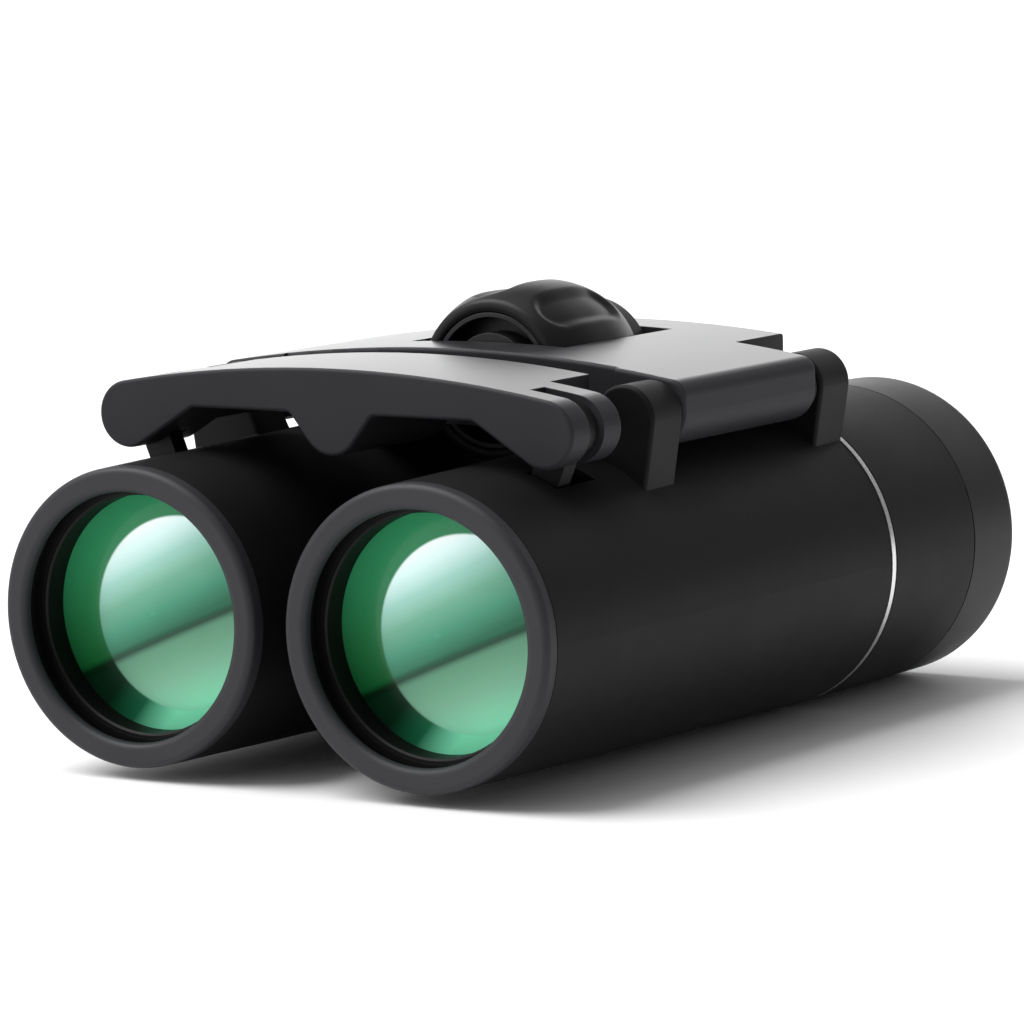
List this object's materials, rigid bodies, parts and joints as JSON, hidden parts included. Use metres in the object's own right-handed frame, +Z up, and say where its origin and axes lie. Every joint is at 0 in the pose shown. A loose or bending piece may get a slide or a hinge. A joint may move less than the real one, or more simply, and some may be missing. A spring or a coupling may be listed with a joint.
{
  "type": "folding binoculars",
  "caption": "Compact binoculars with two barrels that fold out on a double-hinge bridge, a central focus wheel and a diopter ring.",
  "frame": {"origin": "middle of the bottom of the folded binoculars' box", "axes": "+X across the barrels towards the user's left one, +Y from the objectives to the eyecups, +Z up to the focus wheel"},
  "size_m": [0.0661, 0.095, 0.0463],
  "materials": {
    "armour": "fine soft-touch black",
    "rim": "matte dark grey",
    "bridge": "satin dark grey",
    "wheel_hub": "satin black",
    "wheel_rubber": "charcoal rubber",
    "eyecup_rubber": "charcoal rubber",
    "inner_black": "flat black",
    "bright_trim": "bright turned",
    "objective_glass": "green coated",
    "eye_glass": "blue coated",
    "optical_glass": "polished",
    "steel": "ground",
    "brass": "turned"
  },
  "bodies": {
    "bridge": {"main_bridge": "bridge", "bridge_cover_left": "bridge", "bridge_cover_right": "bridge", "bridge_screws": "steel", "hinge_pins": "steel", "hinge_washers": "inner_black", "thrust_washers": "steel"},
    "barrel_left": {"barrel_housing_left": "armour", "objective_rim_left": "rim", "light_baffle_left": "inner_black", "prism_cage_left": "inner_black", "prism_front_left": "optical_glass", "prism_roof_left": "optical_glass", "prism_clip_left": "steel", "eyepiece_mount_left": "inner_black", "trim_ring_left": "bright_trim", "eyepiece_collar_left": "armour", "eyecup_left": "eyecup_rubber", "eyepiece_tube_left": "inner_black", "field_lens_left": "optical_glass", "eye_lens_left": "eye_glass", "eyepiece_retainer_left": "inner_black"},
    "barrel_right": {"barrel_housing_right": "armour", "objective_rim_right": "rim", "light_baffle_right": "inner_black", "prism_cage_right": "inner_black", "prism_front_right": "optical_glass", "prism_roof_right": "optical_glass", "prism_clip_right": "steel", "eyepiece_mount_right": "inner_black", "trim_ring_right": "bright_trim"},
    "objective_left": {"objective_cell_left": "inner_black", "objective_crown_left": "objective_glass", "objective_flint_left": "objective_glass", "objective_retainer_left": "inner_black"},
    "objective_right": {"objective_cell_right": "inner_black", "objective_crown_right": "objective_glass", "objective_flint_right": "objective_glass", "objective_retainer_right": "inner_black"},
    "focus_wheel": {"focus_wheel_hub": "wheel_hub", "focus_wheel_grip": "wheel_rubber", "focus_screw": "steel"},
    "front_bridge": {"front_bridge": "bridge", "focus_nut": "brass", "link_pins": "steel"},
    "diopter_ring": {"diopter_ring_right": "armour", "eyecup_right": "eyecup_rubber"},
    "eyepiece_right": {"eyepiece_tube_right": "inner_black", "field_lens_right": "optical_glass", "eye_lens_right": "eye_glass", "eyepiece_retainer_right": "inner_black", "diopter_pin": "steel"}
  },
  "joints": [
    {"name": "fold_left", "type": "hinge", "parent": "bridge", "child": "barrel_left", "pos_m": [0.0245, 0, 0.03503], "axis": [0, -1, 0], "range_deg": [0, 60]},
    {"name": "fold_right", "type": "hinge", "parent": "bridge", "child": "barrel_right", "pos_m": [-0.0245, 0, 0.03503], "axis": [0, 1, 0], "range_deg": [0, 60]},
    {"name": "focus_turn", "type": "hinge", "parent": "bridge", "child": "focus_wheel", "pos_m": [0, 0, 0.03648], "axis": [0, 1, 0], "range_deg": [-60, 480]},
    {"name": "front_bridge_slide", "type": "slide", "parent": "bridge", "child": "front_bridge", "axis": [0, 1, 0], "range_m": [-0.0005, 0.004]},
    {"name": "objective_left_slide", "type": "slide", "parent": "barrel_left", "child": "objective_left", "axis": [0, 1, 0], "range_m": [-0.0005, 0.004]},
    {"name": "objective_right_slide", "type": "slide", "parent": "barrel_right", "child": "objective_right", "axis": [0, 1, 0], "range_m": [-0.0005, 0.004]},
    {"name": "diopter_turn", "type": "hinge", "parent": "barrel_right", "child": "diopter_ring", "pos_m": [-0.0168, 0, 0.01625], "axis": [0, 1, 0], "range_deg": [-60, 60]},
    {"name": "eyepiece_right_slide", "type": "slide", "parent": "barrel_right", "child": "eyepiece_right", "axis": [0, 1, 0], "range_m": [-0.001, 0.001]}
  ],
  "couplings": [
    {"joint": "front_bridge_slide", "follows": "focus_turn", "m_per_rad": 0.00047746},
    {"joint": "objective_left_slide", "follows": "focus_turn", "m_per_rad": 0.00047746},
    {"joint": "objective_right_slide", "follows": "focus_turn", "m_per_rad": 0.00047746},
    {"joint": "eyepiece_right_slide", "follows": "diopter_turn", "m_per_rad": 0.00095493}
  ]
}
